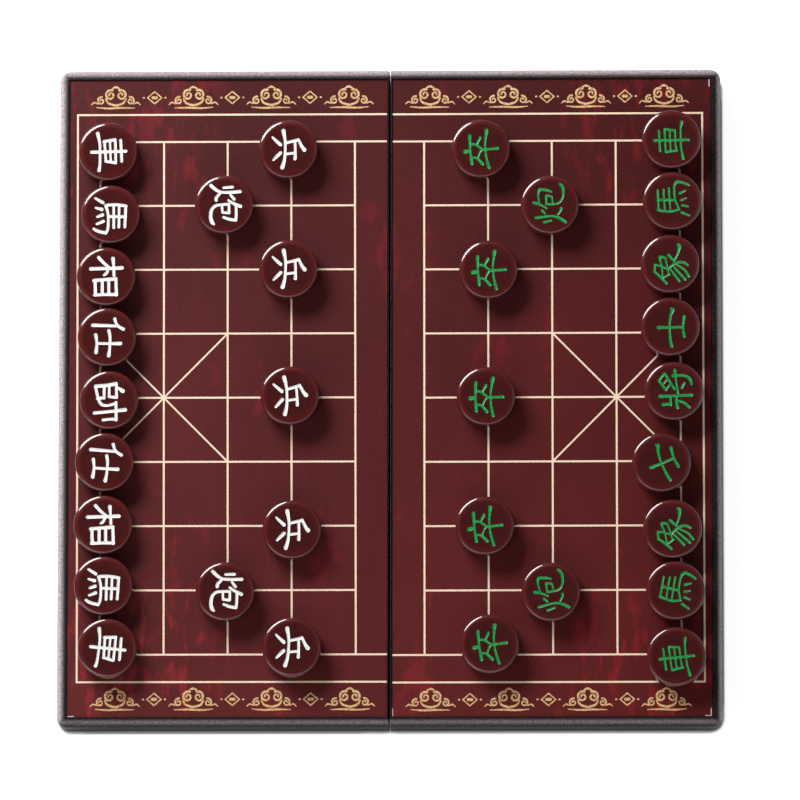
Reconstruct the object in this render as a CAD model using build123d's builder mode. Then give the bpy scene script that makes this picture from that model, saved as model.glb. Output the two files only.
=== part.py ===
from build123d import *
import os

# A folding magnetic xiangqi box, laid open as a board with its playing pieces set up.
# Two moulded trays lie mouth down, side by side, and their backs carry the two halves of
# the printed board. They are hinged at the foot of the seam, and the right tray turns down
# and under the left one, mouth to mouth, to make the closed case.
# Millimetres, +Z up. The origin is on the table, under the middle of the seam.

# Trays
half_width = 139.7            # one tray, from the seam to its outer long side
case_depth = 280.0            # one tray, from front to rear
half_height = 20.0            # table to the crest of the rim
side_wall = 2.4
spine_wall = 3.2
deck_thickness = 1.8          # the plate that the board lies on
cavity_corner_radius = 2.0
spine_gap = 0.6               # between the two trays when the board is open

# Rim round the board
rim_width = 4.0               # on the three outer sides
rim_land = 0.2                # narrow flat crest at the inner edge of the rounded rim
corner_surplus = 0.6          # the outer corners' plan radius, beyond the rim's round
spine_rim_width = 0.5         # the thin border beside the seam
spine_corner_radius = 0.4     # softened ends of the edge beside the seam
crest_proud = 0.7             # crest above the board's face

# Ribs under the deck
rib_thickness = 1.2
rib_height = 2.0
long_ribs = 3
cross_ribs = 6

# Locating lips inside the mouths of the trays
lip_thickness = 1.4
lip_clearance = 0.2           # from the wall that the lip slides into
lip_root_height = 5.0         # band that joins the lip to its own wall
lip_root_lift = 0.8           # that band above its own wall's foot
lip_end_gap = 9.0             # from the lip's end to the cavity's corner
lip_lead_in = 0.6

# Board: a steel sheet and a printed panel in each tray's back
sheet_thickness = 0.5
sheet_clearance = 0.5
panel_thickness = 1.0
panel_clearance = 0.2

# Hinge
knuckle_radius = 2.2          # the knuckles just reach the table
knuckle_length = 12.0
knuckles_per_hinge = 3        # outer ones on the left tray
knuckle_end_gap = 0.3
relief_clearance = 0.3        # round a knuckle, in the wall that faces it
hinge_offset = 85.0           # middle of each hinge from the middle of the seam
pin_radius = 1.0
pin_press_clearance = 0.01    # in the left tray's knuckles
pin_running_clearance = 0.05  # in the right tray's knuckles
pin_end_recess = 0.6
pin_chamfer = 0.3
mating_gap = 0.1              # between the trays' walls when the case is closed

# Playing pieces
piece_radius = 12.5
piece_height = 9.0
end_radius = 11.4             # a piece narrows to its top and its foot
end_slope_height = 2.2        # and that much of its height slopes at each end
magnet_side = 8.0             # a square block, seen only from below
magnet_thickness = 2.5
magnet_clearance = 0.05
magnet_recess = 0.1           # magnet's face above the piece's foot

# Board grid
file_pitch = 27.0             # from seam to side
rank_pitch = 27.35            # from front to rear
river_width = 29.2

# Levels and faces that follow
hinge_height = knuckle_radius
wall_foot = hinge_height + mating_gap / 2
board_face = half_height - crest_proud
sheet_top = board_face - panel_thickness
deck_top = sheet_top - sheet_thickness
deck_underside = deck_top - deck_thickness
rim_round = rim_width - rim_land

spine_face = spine_gap / 2
outer_face = spine_face + half_width
cavity_near = spine_face + spine_wall
cavity_far = outer_face - side_wall
cavity_width = cavity_far - cavity_near
cavity_depth = case_depth - 2 * side_wall
pocket_near = spine_face + spine_rim_width
pocket_far = outer_face - rim_width
pocket_width = pocket_far - pocket_near
pocket_depth = case_depth - 2 * rim_width

knuckle_step = knuckle_length + knuckle_end_gap
hinge_length = knuckles_per_hinge * knuckle_step - knuckle_end_gap
pin_length = hinge_length - 2 * pin_end_recess


def knuckle_spans(first):
    """Front and rear ends of every second knuckle of both hinges, from the one numbered first."""
    spans = []
    for hinge_middle in (-hinge_offset, hinge_offset):
        for number in range(first, knuckles_per_hinge, 2):
            front = hinge_middle - hinge_length / 2 + number * knuckle_step
            spans.append((front, front + knuckle_length))
    return spans


def hinge_cylinder(front, rear, radius, mode):
    """A cylinder on the hinge line, added to the tray that is being made, or cut from it."""
    with BuildSketch(Plane.XZ.offset(-rear)) as section:
        with Locations((0, hinge_height)):
            Circle(radius)
    extrude(section.sketch, amount=rear - front, mode=mode)


def locating_lip(middle, length, along):
    """A lip on the inner face of one wall, with the band that joins it there.

    The inside of the tray is to the left of along.
    """
    wall_plane = Plane(origin=(*middle, 0), x_dir=along, z_dir=(0, 0, 1))
    with BuildSketch(wall_plane.offset(wall_foot + lip_root_lift)) as root:
        Rectangle(length, lip_clearance + lip_thickness, align=(Align.CENTER, Align.MIN))
    extrude(root.sketch, amount=lip_root_height)
    with BuildPart(wall_plane, mode=Mode.PRIVATE) as lip:
        with Locations((0, lip_clearance)):
            Box(
                length,
                lip_thickness,
                wall_foot + lip_root_lift + lip_root_height,
                align=(Align.CENTER, Align.MIN, Align.MIN),
            )
        foot = lip.faces().sort_by(Axis.Z)[0]
        chamfer(foot.edges(), lip_lead_in)
    add(lip.part)


def half_tray(side, own_knuckles, facing_knuckles, bore_clearance, lips):
    """One moulded tray, mouth down. side is -1 for the left one and 1 for the right one."""
    tray_middle = side * (spine_face + outer_face) / 2
    cavity_middle = side * (cavity_near + cavity_far) / 2
    pocket_middle = side * (pocket_near + pocket_far) / 2
    with BuildPart() as tray:
        with BuildSketch(Plane.XY.offset(wall_foot)) as plan:
            with Locations((tray_middle, 0)):
                Rectangle(half_width, case_depth)
            outer_corners = plan.vertices().group_by(Axis.X)[0 if side < 0 else -1]
            fillet(outer_corners, rim_round + corner_surplus)
        extrude(amount=half_height - wall_foot)
        crest = tray.faces().sort_by(Axis.Z)[-1]
        rim_edges = crest.edges().filter_by(lambda edge: abs(edge.center().X) > cavity_near)
        fillet(rim_edges, rim_round)
        spine_edges = tray.edges().filter_by(lambda edge: abs(abs(edge.center().X) - spine_face) < 0.01)
        spine_ends = spine_edges.filter_by(lambda edge: abs(edge.center().Y) > case_depth / 2 - rim_round)
        fillet(spine_ends, spine_corner_radius)

        with BuildSketch(Plane.XY.offset(wall_foot)):
            with Locations((cavity_middle, 0)):
                RectangleRounded(cavity_width, cavity_depth, cavity_corner_radius)
        extrude(amount=deck_underside - wall_foot, mode=Mode.SUBTRACT)

        with BuildSketch(Plane.XY.offset(deck_top)):
            with Locations((pocket_middle, 0)):
                Rectangle(pocket_width, pocket_depth)
        extrude(amount=half_height - deck_top, mode=Mode.SUBTRACT)

        with BuildSketch(Plane.XY.offset(deck_underside - rib_height)):
            with Locations((cavity_middle, 0)):
                with GridLocations(cavity_width / (long_ribs + 1), 0, long_ribs, 1):
                    Rectangle(rib_thickness, cavity_depth)
                with GridLocations(0, cavity_depth / (cross_ribs + 1), 1, cross_ribs):
                    Rectangle(cavity_width, rib_thickness)
        extrude(amount=rib_height)

        for middle, length, along in lips:
            locating_lip(middle, length, along)
        for front, rear in facing_knuckles:
            hinge_cylinder(
                front - knuckle_end_gap,
                rear + knuckle_end_gap,
                knuckle_radius + relief_clearance,
                Mode.SUBTRACT,
            )
        for front, rear in own_knuckles:
            hinge_cylinder(front, rear, knuckle_radius, Mode.ADD)
        for front, rear in own_knuckles:
            hinge_cylinder(front, rear, pin_radius + bore_clearance, Mode.SUBTRACT)
    return tray


def board_layer(side, bottom, thickness, clearance):
    """A flat sheet that lies in one tray's back."""
    with BuildPart() as layer:
        with BuildSketch(Plane.XY.offset(bottom)):
            with Locations((side * (pocket_near + pocket_far) / 2, 0)):
                Rectangle(pocket_width - 2 * clearance, pocket_depth - 2 * clearance)
        extrude(amount=thickness)
    return layer


def hinge_pin(hinge_middle):
    """A steel pin that is held in the left tray's knuckles and turns in the right tray's."""
    with BuildPart() as pin:
        with BuildSketch(Plane.XZ.offset(-hinge_middle - pin_length / 2)):
            with Locations((0, hinge_height)):
                Circle(pin_radius)
        extrude(amount=pin_length)
        chamfer(pin.edges().filter_by(GeomType.CIRCLE), pin_chamfer)
    return pin


def playing_piece(x, y):
    """A drum-shaped piece on the board, with the magnet in its foot as a solid of its own."""
    with BuildPart(Plane.XY.offset(board_face).move(Location((x, y, 0)))) as piece:
        with BuildSketch(Plane(origin=(x, y, board_face), x_dir=(1, 0, 0), z_dir=(0, -1, 0))):
            with BuildLine():
                Polyline(
                    (0, 0),
                    (end_radius, 0),
                    (piece_radius, end_slope_height),
                    (piece_radius, piece_height - end_slope_height),
                    (end_radius, piece_height),
                    (0, piece_height),
                    close=True,
                )
            make_face()
        revolve(axis=Axis((x, y, 0), (0, 0, 1)))
        pocket_side = magnet_side + 2 * magnet_clearance
        Box(
            pocket_side,
            pocket_side,
            magnet_recess + magnet_thickness + magnet_clearance,
            align=(Align.CENTER, Align.CENTER, Align.MIN),
            mode=Mode.SUBTRACT,
        )
        with Locations((0, 0, magnet_recess)):
            Box(
                magnet_side,
                magnet_side,
                magnet_thickness,
                align=(Align.CENTER, Align.CENTER, Align.MIN),
            )
    return piece


left_knuckles = knuckle_spans(0)
right_knuckles = knuckle_spans(1)

# The left tray has its lips along the front and rear walls, the right tray along its outer wall,
# so that they pass inside each other's walls when the case closes.
end_wall = cavity_depth / 2
end_lip_middle = -(cavity_near + cavity_far) / 2
end_lip_length = cavity_width - 2 * lip_end_gap
side_lip_length = cavity_depth - 2 * lip_end_gap
left_lips = [
    ((end_lip_middle, -end_wall), end_lip_length, (1, 0, 0)),
    ((end_lip_middle, end_wall), end_lip_length, (-1, 0, 0)),
]
right_lips = [((cavity_far, 0), side_lip_length, (0, 1, 0))]

left_shell = half_tray(-1, left_knuckles, right_knuckles, pin_press_clearance, left_lips)
right_shell = half_tray(1, right_knuckles, left_knuckles, pin_running_clearance, right_lips)

parts = {
    "left_shell": left_shell,
    "right_shell": right_shell,
    "left_steel_sheet": board_layer(-1, deck_top, sheet_thickness, sheet_clearance),
    "right_steel_sheet": board_layer(1, deck_top, sheet_thickness, sheet_clearance),
    "left_board_panel": board_layer(-1, sheet_top, panel_thickness, panel_clearance),
    "right_board_panel": board_layer(1, sheet_top, panel_thickness, panel_clearance),
    "front_hinge_pin": hinge_pin(-hinge_offset),
    "rear_hinge_pin": hinge_pin(hinge_offset),
}

# Where each piece stands: its file, counted from the river, and its rank, counted from the
# middle of the board, then how far it was put down off that point, to +X and to +Y.
white_pieces = {
    "chariot": [(4, 4, 3.5, -5.5), (4, -4, 4.25, 2.0)],
    "horse": [(4, 3, 4.75, -5.0), (4, -3, 2.5, 1.0)],
    "elephant": [(4, 2, 3.0, -4.25), (4, -2, 2.25, -0.5)],
    "advisor": [(4, 1, 3.5, -2.75), (4, -1, 2.75, -1.25)],
    "general": [(4, 0, 4.5, -2.25)],
    "cannon": [(2, 3, -1.25, -1.0), (2, -3, -0.25, -1.5)],
    "soldier": [(1, 4, -1.25, -4.75), (1, 2, -1.0, -1.25), (1, 0, -0.25, -0.5),
                (1, -2, 0.75, -2.75), (1, -4, 0.75, 2.25)],
}
green_pieces = {
    "chariot": [(4, 4, -3.5, -1.0), (4, -4, -2.0, -2.0)],
    "horse": [(4, 3, -3.25, 0.0), (4, -3, -2.25, -1.5)],
    "elephant": [(4, 2, -4.25, 0.5), (4, -2, -3.5, -2.75)],
    "advisor": [(4, 1, -4.25, 1.0), (4, -1, -8.0, -2.0)],
    "general": [(4, 0, -2.75, 1.0)],
    "cannon": [(2, 3, -0.75, -1.5), (2, -3, -0.5, -2.0)],
    "soldier": [(1, 4, -3.0, -4.75), (1, 2, 0.25, -1.75), (1, 0, -0.75, -1.0),
                (1, -2, -1.25, -1.25), (1, -4, 0.75, 3.5)],
}
for colour, side, layout in (("white", -1, white_pieces), ("green", 1, green_pieces)):
    for kind, places in layout.items():
        for number, (file, rank, slip_x, slip_y) in enumerate(places, start=1):
            name = f"{colour}_{kind}" if len(places) == 1 else f"{colour}_{kind}_{number}"
            x = side * (river_width / 2 + file * file_pitch) + slip_x
            y = rank * rank_pitch + slip_y
            parts[name] = playing_piece(x, y)

os.makedirs("parts", exist_ok=True)
for name, builder in parts.items():
    builder.part.label = name
    export_step(builder.part, f"parts/{name}.step")
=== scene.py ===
import math

import bmesh
import bpy
import numpy as np
from mathutils import Matrix, Vector
from mathutils.geometry import delaunay_2d_cdt


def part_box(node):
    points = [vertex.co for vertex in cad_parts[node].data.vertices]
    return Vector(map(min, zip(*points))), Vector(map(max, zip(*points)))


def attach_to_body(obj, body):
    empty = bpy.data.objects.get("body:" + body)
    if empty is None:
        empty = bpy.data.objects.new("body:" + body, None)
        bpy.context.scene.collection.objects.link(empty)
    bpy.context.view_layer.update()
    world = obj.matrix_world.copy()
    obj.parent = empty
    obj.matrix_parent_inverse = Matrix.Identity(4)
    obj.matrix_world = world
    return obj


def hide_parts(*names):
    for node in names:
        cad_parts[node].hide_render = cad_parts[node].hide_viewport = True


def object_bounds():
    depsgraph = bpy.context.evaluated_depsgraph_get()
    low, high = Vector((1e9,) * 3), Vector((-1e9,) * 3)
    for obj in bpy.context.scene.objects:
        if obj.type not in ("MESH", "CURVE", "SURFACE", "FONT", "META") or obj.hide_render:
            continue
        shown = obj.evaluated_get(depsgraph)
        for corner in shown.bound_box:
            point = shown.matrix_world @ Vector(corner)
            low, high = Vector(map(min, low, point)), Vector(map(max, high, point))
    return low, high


# The folding xiangqi box, open on a table. The frame gives the two trays, their sheets, panels and
# pins. This script adds the board's print, the engraved playing pieces with their magnets, the
# finishes, the light and the camera. Metres in the scene, millimetres where a name ends in _mm
# or a comment says so.

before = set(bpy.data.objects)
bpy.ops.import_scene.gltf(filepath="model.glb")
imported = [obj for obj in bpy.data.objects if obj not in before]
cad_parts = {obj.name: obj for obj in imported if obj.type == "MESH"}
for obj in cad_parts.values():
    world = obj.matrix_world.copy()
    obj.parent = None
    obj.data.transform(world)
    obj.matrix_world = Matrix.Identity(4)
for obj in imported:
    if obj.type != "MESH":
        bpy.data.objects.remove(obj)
cad_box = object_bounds()
MM = 0.001

PANEL_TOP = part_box("left_board_panel")[1].z


# ---------------------------------------------------------- node helpers

NOISE_SPAN = (0.3, 0.7)          # nearly all of a noise lies between these


def new_material(name, **settings):
    """A material with its Principled shader, whose sockets are set from the names given."""
    material = bpy.data.materials.new(name)
    material.use_nodes = True
    shader = material.node_tree.nodes["Principled BSDF"]
    for socket, value in settings.items():
        shader.inputs[socket.replace("_", " ")].default_value = value
    return material, shader


def add(tree, kind, **inputs):
    """A new node in a tree. Its sockets are set, or linked where the value is a socket."""
    made = tree.nodes.new("ShaderNode" + kind)
    for name, value in inputs.items():
        attach(tree, value, made.inputs[name.replace("_", " ")])
    return made


def attach(tree, value, socket):
    if isinstance(value, bpy.types.NodeSocket):
        tree.links.new(value, socket)
    else:
        socket.default_value = value


def calc(tree, operation, first, second=0.0):
    """The result of one Math node."""
    made = add(tree, "Math")
    made.operation = operation
    attach(tree, first, made.inputs[0])
    attach(tree, second, made.inputs[1])
    return made.outputs[0]


def vector_calc(tree, operation, first, second=(0, 0, 0)):
    """One Vector Math node."""
    made = add(tree, "VectorMath")
    made.operation = operation
    attach(tree, first, made.inputs[0])
    attach(tree, second, made.inputs[1])
    return made


def product(tree, first, *others):
    for other in others:
        first = calc(tree, "MULTIPLY", first, other)
    return first


def spread(tree, value, low, high, to_low=0.0, to_high=1.0):
    """Value moved from one range to another, smoothly and with its ends held."""
    made = add(
        tree, "MapRange", Value=value, From_Min=low, From_Max=high, To_Min=to_low, To_Max=to_high
    )
    made.interpolation_type = "SMOOTHSTEP"
    return made.outputs["Result"]


def blend_colours(tree, share, first, second):
    made = add(tree, "Mix")
    made.data_type = "RGBA"
    attach(tree, share, made.inputs["Factor"])
    attach(tree, first, made.inputs[6])
    attach(tree, second, made.inputs[7])
    return made.outputs[2]


def place(tree, scale=(1, 1, 1)):
    """Coordinates that stay with the piece, in metres, stretched by scale."""
    coordinates = add(tree, "TexCoord")
    mapping = add(tree, "Mapping", Vector=coordinates.outputs["Object"], Scale=scale)
    return mapping.outputs["Vector"]


def noise(tree, size_mm, detail=3.0, roughness=0.55, scale=(1, 1, 1)):
    """A noise whose patches are about size_mm across."""
    made = add(
        tree,
        "TexNoise",
        Vector=place(tree, scale),
        Scale=1 / (size_mm * MM),
        Detail=detail,
        Roughness=roughness,
    )
    return made.outputs["Fac"]


def colour_with(tree, shader, share, first, second):
    """The shader's colour, between two colours."""
    attach(tree, blend_colours(tree, share, first, second), shader.inputs["Base Color"])


def roughen(tree, shader, pattern, smoothest, roughest, depth_mm=0.0, span=NOISE_SPAN):
    """Roughness that follows a pattern, and with a depth also a bump."""
    attach(tree, spread(tree, pattern, *span, smoothest, roughest), shader.inputs["Roughness"])
    if depth_mm:
        bump(tree, shader, pattern, depth_mm)


def bump(tree, shader, height, depth_mm):
    made = add(tree, "Bump", Height=height, Distance=depth_mm * MM)
    attach(tree, made.outputs["Normal"], shader.inputs["Normal"])


def srgb(red, green, blue):
    """A colour as a screen shows it, 0 to 255, for a shader."""
    shares = [c / 255 for c in (red, green, blue)]
    return tuple(c / 12.92 if c <= 0.04045 else ((c + 0.055) / 1.055) ** 2.4 for c in shares) + (1.0,)


# ------------------------------------------------------------- materials

GRAIN_MM = 1.25                  # a cell of the leather grain
GRAIN_DEPTH_MM = 0.07
# Where the case's edges carry a pale painted sheen: how far in from its outline, and by the parts of
# its normal that point up and to the rear.
SHEEN_REACH = (0.6 * MM, 3.6 * MM)
RIGHT_NARROWER = 1.5             # the right side's painted sheen is narrower by this
SHEEN_ABOVE_WALL = (0.03, 0.20)
SHEEN_FRONT = (-0.90, -0.30)
SHEEN_REAR = (0.30, 0.90)
REAR_SHEEN = 0.75
# Where the print's brighter streaks gather, as distances from the middle of the board.
RICH_FROM_X = (62 * MM, 84 * MM)
RICH_FROM_Y = (76 * MM, 90 * MM)
# Painted light on the print, a falloff of the light with a pale painted sheen, as what its colour
# gains per metre as a share of it: all of it along Y, its red along X, and its green and blue along
# X.
LIGHT_FALLOFF_ALONG_Y = -1.7
LIGHT_FALLOFF_ALONG_X = -0.5
LIGHT_AND_SHEEN_ALONG_X = -2.8
# The painted glow of a playing piece's edge, lighter by the distance from its axis.
PIECE_EDGE_GLOW = (9.4 * MM, 10.8 * MM)


def leather_grain_plastic():
    """Charcoal moulded plastic with a leather grain, darker in the grain's creases as painted shade,
    and with a pale painted sheen where its edges turn over.
    """
    material, shader = new_material("charcoal_leather_grain", Specular_IOR_Level=0.12)
    tree = material.node_tree
    drift = add(tree, "TexNoise", Vector=place(tree), Scale=330.0, Detail=2.0)
    shift = vector_calc(tree, "MULTIPLY", drift.outputs["Color"], (0.9 * MM,) * 3)
    warped = vector_calc(tree, "ADD", place(tree), shift.outputs[0])
    cells = add(tree, "TexVoronoi", Vector=warped.outputs[0], Scale=1 / (GRAIN_MM * MM))
    cells.feature = "DISTANCE_TO_EDGE"
    creases = spread(tree, cells.outputs["Distance"], 0.0, 0.28)
    fine = noise(tree, 0.35, detail=4)
    # Painted shade: the grain's colour is darker in its creases.
    crease_shaded = blend_colours(tree, creases, srgb(28, 25, 26), srgb(44, 40, 41))

    spot = add(tree, "SeparateXYZ", Vector=place(tree))
    from_left = calc(tree, "SUBTRACT", spot.outputs["X"], cad_box[0].x)
    from_right = calc(tree, "SUBTRACT", cad_box[1].x, spot.outputs["X"])
    from_right = product(tree, from_right, RIGHT_NARROWER)
    from_ends = calc(tree, "SUBTRACT", cad_box[1].y, calc(tree, "ABSOLUTE", spot.outputs["Y"]))
    inside = calc(tree, "MINIMUM", calc(tree, "MINIMUM", from_left, from_right), from_ends)
    facing = add(tree, "SeparateXYZ", Vector=add(tree, "TexCoord").outputs["Normal"])
    mottle = noise(tree, 0.9, detail=4, roughness=0.65)
    # Painted sheen: the turned-over edge is coloured pale, less so at the front, at the rear and on
    # the right.
    painted_sheen = product(
        tree,
        spread(tree, inside, *SHEEN_REACH, 1.0, 0.0),
        spread(tree, facing.outputs["Z"], *SHEEN_ABOVE_WALL),
        spread(tree, facing.outputs["Y"], *SHEEN_FRONT),
        spread(tree, facing.outputs["Y"], *SHEEN_REAR, 1.0, REAR_SHEEN),
        spread(tree, mottle, 0.32, 0.62, 0.7, 1.0),
        spread(tree, creases, 0.0, 0.8, 0.7, 1.0),
    )
    sheen_colour = blend_colours(tree, mottle, srgb(190, 173, 177), srgb(232, 217, 221))
    colour_with(tree, shader, painted_sheen, crease_shaded, sheen_colour)
    roughen(tree, shader, fine, 0.36, 0.5)
    bump(tree, shader, calc(tree, "ADD", creases, product(tree, fine, 0.35)), GRAIN_DEPTH_MM)
    return material


def printed_maroon():
    """Satin maroon print with a rosewood figure: soft darker bands and a few brighter streaks."""
    material, shader = new_material("maroon_print", Specular_IOR_Level=0.3)
    tree = material.node_tree
    band = noise(tree, 34.0, detail=3, scale=(1.0, 0.45, 1.0))
    figure = blend_colours(tree, spread(tree, band, 0.35, 0.7), srgb(78, 22, 23), srgb(87, 26, 27))
    flame = noise(tree, 26.0, detail=5, roughness=0.6, scale=(1.3, 0.6, 1.0))
    flame = spread(tree, flame, 0.60, 0.70, 0.0, 0.6)
    streaked = blend_colours(tree, flame, figure, srgb(122, 30, 38))
    spot = add(tree, "SeparateXYZ", Vector=place(tree))
    grain = noise(tree, 9.0, detail=5, roughness=0.65, scale=(1.6, 0.5, 1.0))
    rich = product(
        tree,
        spread(tree, calc(tree, "ABSOLUTE", spot.outputs["X"]), *RICH_FROM_X),
        spread(tree, calc(tree, "ABSOLUTE", spot.outputs["Y"]), *RICH_FROM_Y),
        spread(tree, grain, 0.5, 0.66, 0.0, 0.75),
    )
    streaked = blend_colours(tree, rich, streaked, srgb(132, 30, 36))
    speck = noise(tree, 0.8, detail=3)
    specks = spread(tree, speck, *NOISE_SPAN, 0.0, 0.2)
    speckled = blend_colours(tree, specks, streaked, srgb(100, 38, 38))
    # Painted light: the print is lighter towards the front left, and less red there, as a painted
    # falloff of the light with a pale painted sheen on the left.
    along = calc(tree, "ADD", product(tree, spot.outputs["Y"], LIGHT_FALLOFF_ALONG_Y), 1.0)
    red = calc(tree, "ADD", product(tree, spot.outputs["X"], LIGHT_FALLOFF_ALONG_X), along)
    pale = calc(tree, "ADD", product(tree, spot.outputs["X"], LIGHT_AND_SHEEN_ALONG_X), along)
    tone = add(tree, "CombineXYZ", X=red, Y=pale, Z=pale)
    with_painted_light = vector_calc(tree, "MULTIPLY", speckled, tone.outputs[0])
    attach(tree, with_painted_light.outputs[0], shader.inputs["Base Color"])
    roughen(tree, shader, speck, 0.38, 0.46, depth_mm=0.008)
    return material


def gold_print(name, dark, light):
    """Gold ink, with the slight mottle of a screen print."""
    material, shader = new_material(name, Specular_IOR_Level=0.5)
    tree = material.node_tree
    mottle = noise(tree, 0.7, detail=4)
    colour_with(tree, shader, spread(tree, mottle, *NOISE_SPAN), dark, light)
    roughen(tree, shader, mottle, 0.35, 0.5)
    return material


def white_print():
    material, shader = new_material("white_ink", Roughness=0.5)
    tree = material.node_tree
    mottle = noise(tree, 0.5, detail=3)
    colour_with(tree, shader, mottle, srgb(214, 204, 204), srgb(240, 234, 234))
    return material


def polished_resin():
    """Dark red-brown plastic under a hard gloss, its rounded edge a little lighter with a painted
    glow.
    """
    material, shader = new_material(
        "red_brown_resin",
        Specular_IOR_Level=0.1,
        Coat_Weight=1.0,
        Coat_Roughness=0.03,
        Coat_IOR=1.6,
        Subsurface_Weight=0.15,
        Subsurface_Radius=(1.0, 0.2, 0.15),
        Subsurface_Scale=1.5 * MM,
    )
    tree = material.node_tree
    cloudy = spread(tree, noise(tree, 7.0, detail=4), *NOISE_SPAN)
    body = blend_colours(tree, cloudy, srgb(64, 17, 17), srgb(72, 21, 20))
    # Painted glow: the rounded edge is coloured lighter than the top.
    from_axis = vector_calc(tree, "LENGTH", place(tree, scale=(1, 1, 0)))
    edge = spread(tree, from_axis.outputs["Value"], *PIECE_EDGE_GLOW)
    colour_with(tree, shader, edge, body, srgb(84, 21, 21))
    wear = noise(tree, 2.5, detail=2)
    roughen(tree, shader, wear, 0.30, 0.40, depth_mm=0.002, span=(0.3, 0.75))
    return material


def engraving_paint(name, dark, light):
    """Enamel that was run into the engraving: uneven, a little thicker in places."""
    material, shader = new_material(
        name, Specular_IOR_Level=0.5, Coat_Weight=0.3, Coat_Roughness=0.15
    )
    tree = material.node_tree
    pooling = noise(tree, 0.9, detail=4)
    colour_with(tree, shader, spread(tree, pooling, *NOISE_SPAN), dark, light)
    roughen(tree, shader, pooling, 0.25, 0.4, depth_mm=0.02)
    return material


def zinc_sheet():
    """Zinc-coated steel: faint crystal spangle under fine rolling marks."""
    material, shader = new_material("zinc_sheet", Metallic=1.0)
    tree = material.node_tree
    spangle = add(tree, "TexVoronoi", Vector=place(tree), Scale=1 / (9 * MM))
    tone = spread(tree, spangle.outputs["Distance"], 0.0, 0.8)
    colour_with(tree, shader, tone, srgb(176, 178, 182), srgb(196, 198, 202))
    rolled = noise(tree, 0.4, detail=4, scale=(1.0, 0.03, 1.0))
    roughen(tree, shader, rolled, 0.3, 0.48, depth_mm=0.01)
    return material


def drawn_steel():
    """Drawn rod, with its fine lines along the hinge."""
    material, shader = new_material("drawn_steel", Metallic=1.0)
    tree = material.node_tree
    lines = noise(tree, 0.25, detail=4, scale=(1.0, 0.04, 1.0))
    colour_with(tree, shader, lines, srgb(160, 160, 163), srgb(205, 205, 208))
    roughen(tree, shader, lines, 0.2, 0.4, depth_mm=0.01)
    return material


def nickel_plate():
    """The magnets' bright plating, dulled by handling."""
    material, shader = new_material("nickel_plate", Metallic=1.0)
    tree = material.node_tree
    haze = noise(tree, 1.8, detail=5)
    colour_with(tree, shader, haze, srgb(150, 148, 144), srgb(200, 198, 192))
    roughen(tree, shader, haze, 0.18, 0.38, depth_mm=0.008)
    return material


CASE = leather_grain_plastic()
MAROON = printed_maroon()
LINE_GOLD = gold_print("pale_gold_ink", srgb(246, 216, 184), srgb(253, 231, 208))
ORNAMENT_GOLD = gold_print("gold_ink", srgb(190, 140, 92), srgb(240, 202, 152))
WHITE_INK = white_print()
RESIN = polished_resin()
WHITE_PAINT = engraving_paint("white_paint", srgb(236, 236, 232), srgb(252, 252, 250))
GREEN_PAINT = engraving_paint("green_paint", srgb(0, 136, 62), srgb(8, 172, 84))
ZINC = zinc_sheet()
STEEL = drawn_steel()
NICKEL = nickel_plate()


# ------------------------------------------------------- mesh and shapes

THINNEST_MM = 0.02               # least half width of a stroke


def make_object(name, mesh, *materials):
    for material in materials:
        mesh.materials.append(material)
    made = bpy.data.objects.new(name, mesh)
    bpy.context.scene.collection.objects.link(made)
    return made


def smooth_line(points, step):
    """Points along a smooth curve through points of (x, y, width), about step apart."""
    padded = [points[0], *points, points[-1]]
    line = []
    for before, start, end, after in zip(padded, padded[1:], padded[2:], padded[3:]):
        start, end = np.array(start, float), np.array(end, float)
        leave = (end - np.array(before, float)) / 2
        arrive = (np.array(after, float) - start) / 2
        pieces = max(1, round(float(np.hypot(*(end - start)[:2])) / step))
        for number in range(pieces):
            t = number / pieces
            line.append(
                (2 * t**3 - 3 * t**2 + 1) * start
                + (t**3 - 2 * t**2 + t) * leave
                + (3 * t**2 - 2 * t**3) * end
                + (t**3 - t**2) * arrive
            )
    line.append(np.array(points[-1], float))
    return np.array(line)


def band_outline(line, inset, cap_steps=6):
    """The closed outline of a brush stroke, round at both ends and drawn in by inset."""
    forward = np.gradient(line[:, :2], axis=0)
    forward /= np.linalg.norm(forward, axis=1)[:, None]
    left = np.stack([-forward[:, 1], forward[:, 0]], axis=1)
    radius = np.maximum(line[:, 2] / 2 - inset, THINNEST_MM)[:, None]

    def cap(centre, direction, size):
        turns = np.linspace(math.pi / 2, -math.pi / 2, cap_steps + 2)[1:-1]
        across = np.array([-direction[1], direction[0]])
        return [centre + size * (math.cos(a) * direction + math.sin(a) * across) for a in turns]

    end_cap = cap(line[-1, :2], forward[-1], radius[-1])
    start_cap = cap(line[0, :2], -forward[0], radius[0])
    return [
        *(line[:, :2] + left * radius),
        *end_cap,
        *(line[:, :2] - left * radius)[::-1],
        *start_cap,
    ]


def depth_inside(points, lines):
    """How far each point is inside the nearest brush stroke, and less than zero outside them."""
    deepest = np.full(len(points), -np.inf)
    for line in lines:
        start, end = line[:-1], line[1:]
        along = end[:, :2] - start[:, :2]
        length = np.maximum((along**2).sum(1), 1e-12)
        share = ((points[:, None] - start[None, :, :2]) * along).sum(2) / length
        share = np.clip(share, 0, 1)
        nearest = start[None, :, :2] + share[..., None] * along
        radius = (start[:, 2] + share * (end[:, 2] - start[:, 2])) / 2
        inside = radius - np.linalg.norm(points[:, None] - nearest, axis=2)
        deepest = np.maximum(deepest, inside.max(1))
    return deepest


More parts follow.
